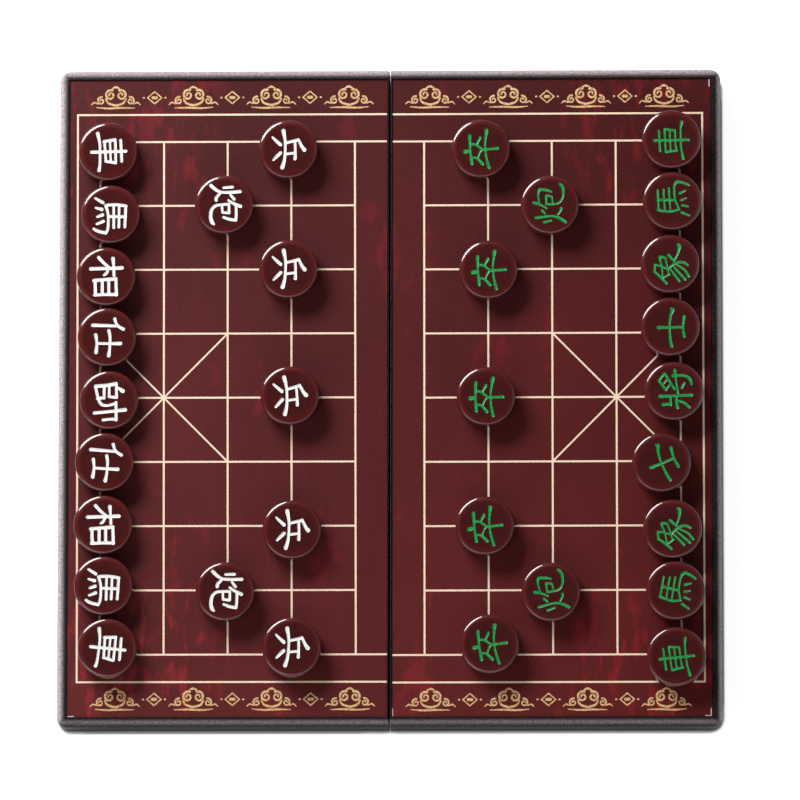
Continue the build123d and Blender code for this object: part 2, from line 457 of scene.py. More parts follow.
def triangulate(outlines, tolerance=1e-5):
    """Points and triangles that keep every edge of the closed outlines given."""
    points, edges = [], []
    for outline in outlines:
        first = len(points)
        points += [Vector((float(x), float(y))) for x, y in outline]
        count = len(outline)
        edges += [(first + i, first + (i + 1) % count) for i in range(count)]
    made = delaunay_2d_cdt(points, edges, [], 0, tolerance)
    return np.array([tuple(p) for p in made[0]]), [tuple(f) for f in made[2]]


def circle(radius, count):
    turns = np.arange(count) * 2 * math.pi / count
    return [(radius * math.cos(a), radius * math.sin(a)) for a in turns]


def counter_clockwise(points, face):
    (ax, ay), (bx, by), (cx, cy) = (points[i][:2] for i in face)
    return face if (bx - ax) * (cy - ay) > (by - ay) * (cx - ax) else face[::-1]


# ------------------------------------------------ characters, as strokes

# Each stroke is points of (x, y, width) on a grid of ten cells a side, x to the right and y down,
# with the middle of the piece at (5, 5).
CELL_MM = 1.86
GLYPHS = {
    ("white", "chariot"): [
        [(2.5, 2.1, 0.65), (7.3, 1.85, 0.65)],
        [(2.35, 3.4, 0.7), (2.75, 5.9, 0.7)],
        [(2.3, 3.35, 0.6), (7.7, 3.2, 0.6)],
        [(7.65, 3.3, 0.65), (7.3, 5.5, 0.65)],
        [(2.7, 5.8, 0.6), (7.3, 5.45, 0.6)],
        [(2.6, 4.55, 0.5), (7.4, 4.35, 0.5)],
        [(0.9, 7.35, 0.85), (3, 6.9, 0.6), (5.2, 6.8, 0.6), (8, 6.8, 0.6), (9.4, 7.0, 0.8)],
        [(5.0, 0.9, 0.7), (5.05, 3, 0.65), (5.15, 6, 0.7), (5.2, 8.7, 0.75)],
    ],
    ("white", "horse"): [
        [(3.2, 1.5, 0.7), (2.9, 3.5, 0.7), (2.95, 5.5, 0.7), (3.1, 6.1, 0.7)],
        [(3.2, 1.55, 0.65), (8.0, 1.75, 0.65)],
        [(3.0, 3.05, 0.55), (8.0, 3.1, 0.65)],
        [(2.95, 4.3, 0.55), (8.15, 4.25, 0.65)],
        [(5.65, 1.6, 0.7), (5.6, 5.5, 0.6)],
        [(3.1, 6.1, 0.7), (4.8, 5.6, 0.6), (7.0, 5.5, 0.6), (8.6, 5.65, 0.65), (9.35, 6.05, 0.65)],
        [(9.35, 6.05, 0.75), (9.15, 7.2, 0.7), (8.8, 8.2, 0.7), (8.4, 8.8, 0.6)],
        [(2.4, 6.75, 0.75), (1.4, 8.45, 0.55)],
        [(3.95, 7.0, 0.8), (3.6, 8.35, 0.5)],
        [(5.2, 6.85, 0.8), (5.65, 8.0, 0.55)],
        [(6.7, 6.65, 0.75), (7.3, 8.1, 0.55)],
    ],
    ("white", "elephant"): [
        [(0.95, 3.45, 0.85), (2.6, 3.3, 0.6), (4.8, 3.2, 0.7)],
        [(3.1, 1.4, 0.85), (3.2, 4, 0.75), (3.3, 8.5, 0.8)],
        [(3.0, 4.3, 0.6), (1.9, 5.6, 0.7), (0.7, 6.7, 0.8)],
        [(3.7, 4.6, 0.6), (4.4, 5.0, 0.7), (4.75, 5.5, 0.5)],
        [(5.6, 2.8, 0.85), (5.8, 5.5, 0.75), (6.0, 7.75, 0.8)],
        [(5.6, 2.75, 0.65), (9.3, 2.65, 0.75)],
        [(9.2, 2.6, 0.75), (9.2, 5, 0.7), (9.3, 7.6, 0.7)],
        [(5.7, 4.4, 0.7), (9.1, 4.35, 0.7)],
        [(5.8, 5.85, 0.7), (9.2, 5.85, 0.7)],
        [(6.0, 7.5, 0.7), (9.3, 7.4, 0.75)],
    ],
    ("white", "advisor"): [
        [(3.2, 1.3, 0.75), (2.6, 2.4, 0.65), (1.8, 3.0, 0.6), (0.9, 3.3, 0.75)],
        [(2.5, 2.6, 0.6), (2.45, 5, 0.7), (2.4, 8.3, 0.8)],
        [(3.6, 4.6, 0.75), (5, 4.3, 0.65), (7.5, 4.3, 0.6), (9.3, 4.5, 0.85)],
        [(6.5, 1.9, 0.85), (6.55, 4.3, 0.65), (6.55, 7.2, 0.6)],
        [(4.6, 7.55, 0.8), (6.5, 7.25, 0.6), (8.6, 7.4, 0.85)],
    ],
    ("white", "general"): [
        [(3.0, 1.9, 1.0), (2.5, 2.6, 0.7), (2.2, 3.1, 0.5)],
        [(1.3, 3.4, 0.8), (1.7, 5.5, 0.8), (1.9, 8.0, 0.8)],
        [(1.4, 3.35, 0.6), (4.5, 3.3, 0.65)],
        [(4.45, 3.4, 0.7), (4.3, 5.0, 0.6)],
        [(1.7, 4.95, 0.6), (4.2, 4.95, 0.6)],
        [(1.8, 6.1, 0.65), (4.6, 6.1, 0.65)],
        [(4.5, 6.1, 0.7), (4.7, 7.6, 0.7)],
        [(1.9, 8.1, 0.7), (4.9, 7.4, 0.65)],
        [(5.6, 3.4, 0.65), (9.6, 3.35, 0.7)],
        [(5.8, 3.4, 0.65), (6.3, 5.3, 0.6), (6.1, 6.6, 0.7), (5.3, 7.2, 0.7)],
        [(7.3, 1.3, 0.85), (7.6, 4, 0.7), (7.9, 7, 0.7), (8.0, 8.3, 0.75)],
        [(9.4, 3.4, 0.75), (9.45, 5, 0.6), (9.6, 6.3, 0.7)],
    ],
    ("white", "cannon"): [
        [(1.1, 3.0, 0.65), (1.2, 5.0, 0.6)],
        [(2.2, 1.3, 0.75), (2.3, 3.5, 0.7), (2.2, 5.6, 0.65), (1.6, 6.8, 0.75), (0.6, 7.9, 0.8)],
        [(3.9, 2.7, 0.7), (2.9, 3.5, 0.55)],
        [(2.5, 5.9, 0.6), (3.4, 6.7, 0.7), (4.0, 6.8, 0.75)],
        [(5.6, 1.3, 0.8), (5.2, 2.2, 0.7), (4.7, 3.2, 0.6), (4.1, 4.0, 0.5)],
        [(5.4, 2.3, 0.6), (7.5, 2.3, 0.65), (8.7, 2.45, 0.7)],
        [(8.7, 2.5, 0.7), (8.5, 3.8, 0.7), (8.0, 5.2, 0.6)],
        [(5.0, 3.9, 0.55), (7.0, 3.9, 0.65)],
        [(7.0, 4.0, 0.7), (6.9, 5.3, 0.6)],
        [(5.2, 5.5, 0.55), (6.9, 5.4, 0.55)],
        [(5.0, 4.0, 0.65), (5.1, 5.8, 0.6), (5.3, 7.0, 0.65), (6.3, 7.9, 0.75), (8.0, 8.1, 0.8),
         (9.1, 7.8, 0.85), (9.5, 7.4, 0.5)],
    ],
    ("white", "soldier"): [
        [(5.0, 1.3, 0.95), (4.3, 1.9, 0.75), (2.7, 2.8, 0.6)],
        [(2.8, 2.8, 0.75), (3.3, 4.4, 0.65), (3.6, 5.5, 0.65)],
        [(3.6, 3.5, 0.6), (5.5, 3.35, 0.6), (7.2, 3.3, 0.75)],
        [(5.9, 3.6, 0.6), (6.2, 5.5, 0.6)],
        [(0.9, 6.3, 0.95), (3, 5.8, 0.65), (5, 5.65, 0.6), (7.5, 5.7, 0.7), (9.3, 6.1, 0.95)],
        [(4.1, 6.8, 0.8), (3.2, 7.9, 0.65), (2.5, 8.7, 0.45)],
        [(6.0, 6.7, 0.8), (7.0, 7.6, 0.7), (7.7, 8.2, 0.5)],
    ],
    ("green", "chariot"): [
        [(2.2, 2.4, 0.5), (6.9, 2.15, 0.45)],
        [(4.65, 1.2, 0.6), (4.7, 5, 0.5), (4.8, 8.9, 0.55)],
        [(1.95, 3.75, 0.5), (2.35, 6.2, 0.5)],
        [(2.0, 3.7, 0.45), (4.6, 3.55, 0.4), (7.25, 3.45, 0.5)],
        [(7.25, 3.5, 0.5), (6.95, 5.8, 0.45)],
        [(2.4, 6.1, 0.5), (4, 5.9, 0.4), (6.9, 5.8, 0.45)],
        [(2.3, 4.8, 0.42), (6.9, 4.6, 0.45)],
        [(0.5, 7.65, 0.65), (2.6, 7.25, 0.45), (4.8, 7.1, 0.4), (7.4, 7.1, 0.45), (8.9, 7.35, 0.65)],
    ],
    ("green", "horse"): [
        [(2.75, 1.85, 0.6), (2.5, 3.5, 0.5), (2.5, 5.0, 0.5), (3.05, 6.6, 0.5)],
        [(2.75, 1.95, 0.45), (5, 1.8, 0.45), (7.3, 1.65, 0.5)],
        [(2.7, 3.4, 0.4), (5, 3.15, 0.4), (7.5, 3.0, 0.5)],
        [(2.6, 4.65, 0.42), (5, 4.4, 0.4), (7.8, 4.2, 0.5)],
        [(5.1, 1.9, 0.55), (5.1, 5.6, 0.5)],
        [(3.05, 6.6, 0.5), (4.3, 6.0, 0.45), (5.5, 5.6, 0.42), (7.4, 5.4, 0.5), (8.8, 5.5, 0.55)],
        [(8.8, 5.5, 0.6), (9.3, 6.0, 0.65), (9.2, 7.1, 0.55), (8.9, 8.0, 0.55), (8.6, 8.75, 0.45)],
        [(2.25, 7.2, 0.62), (1.6, 8.95, 0.4)],
        [(3.9, 7.3, 0.55), (3.7, 8.6, 0.4)],
        [(5.15, 7.05, 0.55), (5.6, 8.15, 0.35)],
        [(6.7, 6.7, 0.6), (7.35, 8.0, 0.35)],
    ],
    ("green", "elephant"): [
        [(3.1, 1.5, 0.5), (1.8, 2.9, 0.5), (0.5, 4.1, 0.6)],
        [(3.1, 1.5, 0.5), (4.7, 1.6, 0.5)],
        [(4.6, 1.7, 0.5), (4.5, 2.6, 0.45), (4.1, 3.5, 0.45), (3.6, 4.6, 0.4)],
        [(1.7, 3.3, 0.45), (2.5, 4.9, 0.4)],
        [(1.8, 3.3, 0.4), (4.5, 3.1, 0.4), (6.0, 2.7, 0.5), (6.5, 2.8, 0.55), (6.3, 3.9, 0.5)],
        [(2.7, 4.6, 0.4), (4.3, 4.4, 0.4), (6.3, 3.9, 0.45)],
        [(3.9, 4.7, 0.45), (4.8, 5.8, 0.5), (5.2, 6.8, 0.55), (5.2, 8.0, 0.6), (4.6, 9.0, 0.5)],
        [(3.6, 5.1, 0.4), (1.0, 7.0, 0.6)],
        [(4.2, 5.8, 0.4), (1.3, 8.4, 0.6)],
        [(4.8, 6.3, 0.4), (3.5, 8.2, 0.5), (2.0, 9.2, 0.6)],
        [(6.9, 4.7, 0.65), (5.4, 6.0, 0.45)],
        [(5.8, 6.0, 0.4), (7.3, 6.8, 0.5), (8.9, 7.2, 0.8), (9.3, 6.8, 0.5)],
    ],
    ("green", "advisor"): [
        [(0.5, 5.4, 0.7), (2, 5.1, 0.6), (5, 4.85, 0.5), (7.5, 5.1, 0.6), (8.8, 5.55, 0.85)],
        [(8.5, 5.4, 0.5), (9.2, 5.15, 0.35)],
        [(4.7, 2.3, 0.75), (4.75, 5, 0.5), (4.9, 7.8, 0.6)],
        [(2.8, 8.2, 0.7), (5, 7.9, 0.5), (7.3, 8.1, 0.75)],
    ],
    ("green", "general"): [
        [(1.8, 2.5, 0.65), (2.0, 4.2, 0.6)],
        [(1.7, 4.3, 0.55), (3.6, 4.2, 0.45)],
        [(1.1, 5.8, 0.7), (2.8, 5.5, 0.5), (3.8, 5.7, 0.45)],
        [(2.7, 5.8, 0.5), (2.2, 7.3, 0.55), (1.2, 8.5, 0.6)],
        [(3.7, 1.8, 0.75), (3.8, 5, 0.55), (4.0, 9.0, 0.7)],
        [(7.3, 1.6, 0.6), (6.2, 2.4, 0.5), (5.2, 3.2, 0.6)],
        [(7.3, 1.6, 0.55), (8.4, 2.4, 0.5), (8.9, 2.9, 0.6)],
        [(8.9, 2.9, 0.6), (7.0, 4.1, 0.5), (5.4, 5.1, 0.5)],
        [(5.2, 3.2, 0.45), (6.2, 3.9, 0.4)],
        [(6.7, 2.7, 0.45), (7.4, 3.3, 0.4)],
        [(4.5, 5.9, 0.55), (7, 5.5, 0.45), (9.7, 5.2, 0.65)],
        [(8.4, 4.8, 0.7), (8.5, 6.5, 0.55), (8.3, 7.8, 0.6), (7.5, 8.7, 0.65), (6.5, 9.0, 0.5)],
        [(5.7, 6.8, 0.6), (6.8, 7.4, 0.45)],
    ],
    ("green", "cannon"): [
        [(0.9, 3.6, 0.55), (1.3, 5.3, 0.4)],
        [(1.9, 1.75, 0.6), (2.2, 3.9, 0.5), (2.3, 5.7, 0.5), (1.8, 7.2, 0.6), (0.95, 8.5, 0.65)],
        [(3.6, 3.15, 0.55), (2.9, 3.85, 0.4)],
        [(2.7, 6.7, 0.35), (3.4, 7.3, 0.5), (4.1, 7.5, 0.6)],
        [(5.35, 1.3, 0.7), (5.1, 2.4, 0.5), (4.1, 4.2, 0.4)],
        [(5.3, 2.5, 0.4), (7.2, 2.3, 0.45), (8.4, 2.5, 0.6)],
        [(8.45, 2.6, 0.6), (8.3, 4.1, 0.6), (7.9, 5.3, 0.4)],
        [(5.0, 4.1, 0.4), (7.0, 4.1, 0.5)],
        [(7.05, 4.2, 0.5), (6.8, 5.3, 0.45)],
        [(5.3, 5.6, 0.35), (6.8, 5.4, 0.4)],
        [(5.05, 4.2, 0.5), (5.05, 5.9, 0.45), (5.4, 7.0, 0.45), (6.3, 7.7, 0.5), (7.6, 8.0, 0.6),
         (9.0, 7.8, 0.7), (9.7, 7.2, 0.5)],
    ],
    ("green", "soldier"): [
        [(4.5, 1.4, 0.9), (4.6, 2.3, 0.7)],
        [(1.6, 2.7, 0.7), (4.8, 2.55, 0.5), (8.0, 2.7, 0.75)],
        [(3.0, 3.0, 0.5), (2.8, 3.9, 0.5), (1.4, 5.1, 0.7)],
        [(3.0, 4.2, 0.4), (4.2, 4.8, 0.45), (4.8, 5.4, 0.45)],
        [(6.1, 3.0, 0.5), (5.9, 3.9, 0.5), (4.8, 5.2, 0.5)],
        [(6.1, 4.2, 0.45), (7.4, 5.0, 0.65)],
        [(0.4, 6.5, 0.7), (3, 6.05, 0.5), (5.5, 6.0, 0.42), (7.5, 6.3, 0.6), (8.9, 6.6, 0.9)],
        [(4.7, 5.2, 0.6), (4.65, 7, 0.5), (4.7, 8.8, 0.65)],
    ],
}

# How far each piece was turned when it was put down, in degrees, counter-clockwise from above.
TURNS = {
    "white_chariot_2": -7.5,
    "white_horse_2": -1.5,
    "white_advisor_1": -1,
    "white_advisor_2": -4,
    "white_cannon_1": 1.5,
    "white_cannon_2": -1.5,
    "white_soldier_1": -3,
    "white_soldier_2": -3,
    "white_soldier_4": -3.5,
    "white_soldier_5": -4.5,
    "green_chariot_2": 5,
    "green_horse_1": -1,
    "green_horse_2": -14,
    "green_elephant_1": 0.5,
    "green_elephant_2": 8,
    "green_advisor_1": -1,
    "green_advisor_2": 20.5,
    "green_cannon_2": 8,
    "green_soldier_1": 4.5,
    "green_soldier_2": 3.5,
    "green_soldier_3": 1,
    "green_soldier_4": 6,
    "green_soldier_5": 7.5,
}


# ---------------------------------------------------- the playing pieces

# All in millimetres. The top is flat, falls away on a wide round, turns over a tight one, and goes
# down a side that swells to the piece's full radius at half height. The foot mirrors the top.
PIECE_HEIGHT = 9.0
FLAT_RADIUS = 10.0
CROWN_RADIUS = 4.2
CROWN_SLOPE = math.radians(27)
EDGE_RADIUS = 0.9
TOP_RADIUS = 10.8                # the part of the top that is made with the engraving
CROWN_STEP = 0.3
SIDES = 128
LIP = 0.07                       # softened lip of the engraving
LIP_DROP = 0.04
GROOVE = 0.25                    # depth of the engraving
GROOVE_WALL = 0.36
GROOVE_ROUNDING = 2.2
GROOVE_RINGS = (-LIP, 0.0, 0.12, 0.26)      # insets of the outlines that shape its walls
STROKE_STEP = 0.45
FOOT_LIFT = 0.04                 # the foot rests on the board's ink
POCKET_HALF = 4.05
POCKET_DEPTH = 2.65
MAGNET_HALF = 4.0
MAGNET_BOTTOM = 0.1
MAGNET_TOP = 2.6
MAGNET_EDGE = 0.3
SHARP_ANGLE = math.radians(38)
# Characters stand with their tops to the river's far bank: white to +X, green to -X.
UPRIGHT = {"white": ((0, -1), (1, 0)), "green": ((0, 1), (-1, 0))}
PAINTS = {"white": WHITE_PAINT, "green": GREEN_PAINT}


def crown_drop(reach):
    """How far the top has fallen away at this distance from the piece's axis."""
    out = np.clip(reach - FLAT_RADIUS, 0, CROWN_RADIUS * math.sin(CROWN_SLOPE))
    return CROWN_RADIUS - np.sqrt(CROWN_RADIUS**2 - out**2)


def groove_level(inside):
    """Height of the engraved surface, against the one round it, this far inside a stroke."""
    lip = np.clip((inside + LIP) / LIP, 0, 1)
    wall = np.clip(inside / GROOVE_WALL, 0, 1)
    return -LIP_DROP * lip**2 - (GROOVE - LIP_DROP) * (1 - (1 - wall) ** GROOVE_ROUNDING)


def stroke_line(stroke, upright):
    """A character's stroke as a smooth line on the piece."""
    on_piece = [((x - 5) * CELL_MM, (5 - y) * CELL_MM, width * CELL_MM) for x, y, width in stroke]
    line = smooth_line(on_piece, STROKE_STEP)
    line[:, :2] = line[:, :2] @ np.array(upright)
    return line


def engraved_top(strokes, upright):
    """The round top as points and triangles, with which of them lie in the engraving."""
    lines = [stroke_line(stroke, upright) for stroke in strokes]
    rings = np.arange(TOP_RADIUS, FLAT_RADIUS - CROWN_STEP / 2, -CROWN_STEP)
    outlines = [circle(reach, SIDES) for reach in rings]
    for inset in GROOVE_RINGS:
        outlines += [band_outline(line, inset) for line in lines]
    points, faces = triangulate(outlines)
    reach = np.hypot(points[:, 0], points[:, 1])
    heights = groove_level(depth_inside(points, lines)) - crown_drop(reach)
    centres = np.array([points[list(face)].mean(0) for face in faces])
    painted = depth_inside(centres, lines) > 0
    return np.column_stack([points, heights]), faces, painted


def side_profile(radius):
    """Radius and height of the piece's side, from the engraved top down to the flat of the foot."""
    profile = []
    top_slope = math.asin((TOP_RADIUS - FLAT_RADIUS) / CROWN_RADIUS)
    for angle in np.linspace(top_slope, CROWN_SLOPE, 5)[1:]:
        reach = FLAT_RADIUS + CROWN_RADIUS * math.sin(angle)
        profile.append((reach, PIECE_HEIGHT - crown_drop(reach)))
    edge_x = profile[-1][0] - EDGE_RADIUS * math.sin(CROWN_SLOPE)
    edge_z = profile[-1][1] - EDGE_RADIUS * math.cos(CROWN_SLOPE)
    # The side's round is as large as lets it touch both the edge's round and the full radius.
    middle = PIECE_HEIGHT / 2
    back, up = edge_x - radius, edge_z - middle
    side_radius = (EDGE_RADIUS**2 - back**2 - up**2) / (2 * (back + EDGE_RADIUS))
    side_x = radius - side_radius
    meeting = math.atan2(edge_x - side_x, up)

    def arc(centre_x, centre_z, size, start, end, steps):
        for angle in np.linspace(start, end, steps)[1:]:
            profile.append((centre_x + size * math.sin(angle), centre_z + size * math.cos(angle)))

    arc(edge_x, edge_z, EDGE_RADIUS, CROWN_SLOPE, meeting, 8)
    arc(side_x, middle, side_radius, meeting, math.pi / 2, 7)
    mirrored = [(reach, PIECE_HEIGHT - height) for reach, height in profile[-2::-1]]
    foot = [(reach, crown_drop(reach)) for reach in np.linspace(TOP_RADIUS, FLAT_RADIUS, 4)]
    return profile + mirrored + foot


def playing_piece_mesh(name, strokes, upright, radius, paint):
    """One piece round the origin, standing over z 0, with the magnet's pocket in its underside."""
    top, top_faces, painted = engraved_top(strokes, upright)
    points = [(x, y, PIECE_HEIGHT + z) for x, y, z in top]
    faces = [counter_clockwise(top, face) for face in top_faces]
    reach = np.hypot(top[:, 0], top[:, 1])
    turn = np.arctan2(top[:, 1], top[:, 0])
    edge = [i for i in range(len(top)) if reach[i] > TOP_RADIUS - 0.001]
    ring = sorted(edge, key=lambda i: (turn[i] + 1e-6) % (2 * math.pi))

    for ring_radius, height in side_profile(radius):
        below = [len(points) + i for i in range(SIDES)]
        points.extend((x, y, height) for x, y in circle(ring_radius, SIDES))
        for i in range(SIDES):
            j = (i + 1) % SIDES
            faces.append((ring[i], below[i], below[j], ring[j]))
        ring = below

    square = [(POCKET_HALF * sx, POCKET_HALF * sy) for sx, sy in ((1, 1), (-1, 1), (-1, -1), (1, -1))]
    foot, foot_faces = triangulate([[points[i][:2] for i in ring], square])
    first = len(points)
    points.extend((x, y, 0.0) for x, y in foot)
    for face in foot_faces:
        if max(abs(foot[list(face)].mean(0))) > POCKET_HALF:
            faces.append(tuple(first + i for i in counter_clockwise(foot, face))[::-1])
    base = len(points)
    points.extend((x, y, z) for z in (0.0, POCKET_DEPTH) for x, y in square)
    for i in range(4):
        j = (i + 1) % 4
        faces.append((base + i, base + j, base + 4 + j, base + 4 + i))
    faces.append((base + 7, base + 6, base + 5, base + 4))

    mesh = bpy.data.meshes.new(name)
    mesh.from_pydata([Vector((x, y, max(z, FOOT_LIFT))) * MM for x, y, z in points], [], faces)
    mesh.materials.append(RESIN)
    mesh.materials.append(paint)
    slots = [int(p) for p in painted] + [0] * (len(faces) - len(painted))
    mesh.polygons.foreach_set("material_index", slots)
    weld(mesh)
    return mesh


def weld(mesh, distance=1e-7):
    shape = bmesh.new()
    shape.from_mesh(mesh)
    bmesh.ops.remove_doubles(shape, verts=shape.verts, dist=distance)
    bmesh.ops.recalc_face_normals(shape, faces=shape.faces)
    shape.to_mesh(mesh)
    shape.free()
    mesh.polygons.foreach_set("use_smooth", [True] * len(mesh.polygons))
    mesh.set_sharp_from_angle(angle=SHARP_ANGLE)


def even_normals(piece):
    """Flat faces keep a flat shading beside the small rounds that border them."""
    modifier = piece.modifiers.new("even_normals", "WEIGHTED_NORMAL")
    modifier.keep_sharp = True
    modifier.weight = 80


def magnet_mesh():
    """A square magnet with its four edges and faces broken."""
    shape = bmesh.new()
    bmesh.ops.create_cube(shape, size=1.0)
    for vertex in shape.verts:
        vertex.co.x *= 2 * MAGNET_HALF * MM
        vertex.co.y *= 2 * MAGNET_HALF * MM
        vertex.co.z = (MAGNET_BOTTOM if vertex.co.z < 0 else MAGNET_TOP) * MM
    bmesh.ops.bevel(
        shape, geom=shape.edges[:], offset=MAGNET_EDGE * MM, segments=3, profile=0.5, affect="EDGES"
    )
    mesh = bpy.data.meshes.new("magnet")
    shape.to_mesh(mesh)
    shape.free()
    mesh.materials.append(NICKEL)
    mesh.polygons.foreach_set("use_smooth", [True] * len(mesh.polygons))
    return mesh


def stand_on_board(name, mesh, node_name):
    """A piece's body or its magnet, where the piece stands and turned as it was put down."""
    low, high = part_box(node_name)
    stand = Vector(((low.x + high.x) / 2, (low.y + high.y) / 2, low.z))
    turned = Matrix.Rotation(math.radians(TURNS.get(node_name, 0)), 4, "Z")
    part = make_object(name, mesh)
    part.matrix_world = Matrix.Translation(stand) @ turned
    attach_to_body(part, node_name)
    return part


magnet = magnet_mesh()
piece_meshes = {}
piece_nodes = [n for colour in PAINTS for n in sorted(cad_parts) if n.startswith(f"{colour}_")]
for node_name in piece_nodes:
    colour, kind = node_name.split("_")[:2]
    if (colour, kind) not in piece_meshes:
        low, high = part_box(node_name)
        radius = (high.x - low.x) / 2 / MM
        piece_meshes[colour, kind] = playing_piece_mesh(
            f"{colour}_{kind}", GLYPHS[colour, kind], UPRIGHT[colour], radius, PAINTS[colour]
        )
    body = stand_on_board(f"{node_name}_engraved", piece_meshes[colour, kind], node_name)
    even_normals(body)
    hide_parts(node_name)
    stand_on_board(f"{node_name}_magnet", magnet, node_name)


# --------------------------------------------------------- board's print

FILE_PITCH_MM = 27.0
RANK_PITCH_MM = 27.35
RIVER_MM = 29.16
BORDER_X_MM = 132.2
BORDER_Y_MM = 121.05
LINE_MM = 0.8
PALACE_LINE_MM = LINE_MM * 0.9
INK_MM = 0.03                    # thickness of the ink
# The print sits a little askew on each panel. Its shift along X and along Y, in mm, at the
# panel's middle, and what it gains per mm along X and along Y from there.
PRINT_SHIFT = {
    -1: ((0.180, -0.00108, -0.00348), (-0.235, 0.00015, -0.00087)),
    1: ((0.147, 0.00114, -0.00161), (-0.373, 0.00133, 0.00019)),
}
PRINT_MIDDLE_X_MM = 69.3
PRINT_BOW = 1.44e-5              # and how it bows along Y, per mm squared
panel_low, panel_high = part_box("right_board_panel")
PANEL_NEAR_MM = panel_low.x / MM
PANEL_FAR_MM = panel_high.x / MM
PANEL_END_MM = panel_high.y / MM


def shifted_print(points, side):
    """Points of the print where they fell on one half's panel, in mm, and kept on the panel."""
    along_x, along_y = points[:, 0] - side * PRINT_MIDDLE_X_MM, points[:, 1]
    shift_x, shift_y = (
        at_middle + per_x * along_x + per_y * along_y for at_middle, per_x, per_y in PRINT_SHIFT[side]
    )
    x = points[:, 0] + shift_x
    y = points[:, 1] + shift_y + PRINT_BOW * along_y**2
    return np.column_stack([side * np.maximum(side * x, PANEL_NEAR_MM), y])


def ink(name, body, material, outlines, lines, side=0):
    """Closed thin ink: the union of straight-sided outlines and brush strokes, in mm.

    With a side, it is the print of that half, shifted as the half's print is.
    """
    bands = [band_outline(line, 0.0) for line in lines]
    points, faces = triangulate([*outlines, *bands])
    centres = np.array([points[list(face)].mean(0) for face in faces])
    filled = depth_inside(centres, lines) > 0
    for outline in outlines:
        filled |= inside_convex(centres, np.array(outline))
    kept = [counter_clockwise(points, face) for face, keep in zip(faces, filled) if keep]
    if side:
        points = shifted_print(points, side)
    used = sorted({i for face in kept for i in face})
    place_of = {old: new for new, old in enumerate(used)}
    upper = [(points[i][0] * MM, points[i][1] * MM, PANEL_TOP + INK_MM * MM) for i in used]
    lower = [(x, y, PANEL_TOP) for x, y, _ in upper]
    kept = [tuple(place_of[i] for i in face) for face in kept]
    count = len(used)
    underside = [tuple(i + count for i in face[::-1]) for face in kept]
    edges = {(a, b) for face in kept for a, b in zip(face, face[1:] + face[:1])}
    walls = [(b, a, a + count, b + count) for a, b in edges if (b, a) not in edges]
    mesh = bpy.data.meshes.new(name)
    mesh.from_pydata(upper + lower, [], kept + underside + walls)
    made = make_object(name, mesh, material)
    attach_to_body(made, body)


def inside_convex(points, outline):
    """Which points lie inside a convex outline that runs counter-clockwise."""
    inside = np.ones(len(points), bool)
    for start, end in zip(outline, np.roll(outline, -1, axis=0)):
        (run, rise), from_start = end - start, points - start
        inside &= run * from_start[:, 1] - rise * from_start[:, 0] > -1e-9
    return inside


def bar(x0, y0, x1, y1, width):
    """A straight line of the print, square at its ends and longer by half its width at each."""
    start, end = np.array([x0, y0], float), np.array([x1, y1], float)
    forward = (end - start) / np.linalg.norm(end - start)
    left = np.array([-forward[1], forward[0]])
    start = start - forward * width / 2
    end = end + forward * width / 2
    half = left * width / 2
    return [start - half, end - half, end + half, start + half]


def board_lines(side):
    """The grid, palace and border of one half, in mm."""
    near, far = RIVER_MM / 2, RIVER_MM / 2 + 4 * FILE_PITCH_MM
    seam = PANEL_NEAR_MM + LINE_MM / 2
    end_rank = 4 * RANK_PITCH_MM
    palace = far - 2 * FILE_PITCH_MM
    bars = []

    def line(x0, y0, x1, y1, width=LINE_MM):
        bars.append(bar(side * x0, y0, side * x1, y1, width))

    for file in range(5):
        x = near + file * FILE_PITCH_MM
        line(x, -end_rank, x, end_rank)
    for rank in range(-4, 5):
        y = rank * RANK_PITCH_MM
        line(seam if abs(rank) == 4 else near, y, far, y)
    for sign in (-1, 1):
        line(far, sign * RANK_PITCH_MM, palace, -sign * RANK_PITCH_MM, PALACE_LINE_MM)
        line(seam, sign * BORDER_Y_MM, BORDER_X_MM, sign * BORDER_Y_MM)
    line(BORDER_X_MM, -BORDER_Y_MM, BORDER_X_MM, BORDER_Y_MM)
    return [b if np.cross(b[1] - b[0], b[2] - b[1]) > 0 else b[::-1] for b in bars]


CURL_WOUND_IN = 0.78             # share of its radius that a curl loses
CURL_THINNED = 0.35              # and of its width


def curl(x, y, radius, start, turns, width, flip):
    """A spiral that winds in on (x, y) from radius, as a brush stroke that thins towards its eye."""
    points = []
    for t in np.linspace(0, 1, 15):
        angle = math.radians(start) + 2 * math.pi * turns * t
        reach = radius * (1 - CURL_WOUND_IN * t)
        x_out = flip * (x + reach * math.cos(angle))
        points.append((x_out, y + reach * math.sin(angle), width * (1 - CURL_THINNED * t)))
    return points


# Strokes of a scroll cloud beside its curls, as (x, y, width) in mm.
CLOUD_NECK = ((4.3, -0.4, 0.6), (3.1, -2.3, 0.9), (0.0, -3.3, 1.0))
CLOUD_TAIL = ((7.6, -2.6, 0.5), (9.2, -2.0, 0.7), (10.4, -3.0, 0.35))
CLOUD_BASE = ((-8.3, -4.1, 0.35), (-3.5, -4.5, 0.8), (2.5, -4.3, 0.8), (8.0, -4.4, 0.35))
CLOUD_CAP = ((-1.5, 4.0, 0.5), (0.0, 4.6, 1.0), (1.6, 4.0, 0.5))


def flipped(stroke, flip):
    return [(flip * x, y, width) for x, y, width in stroke]


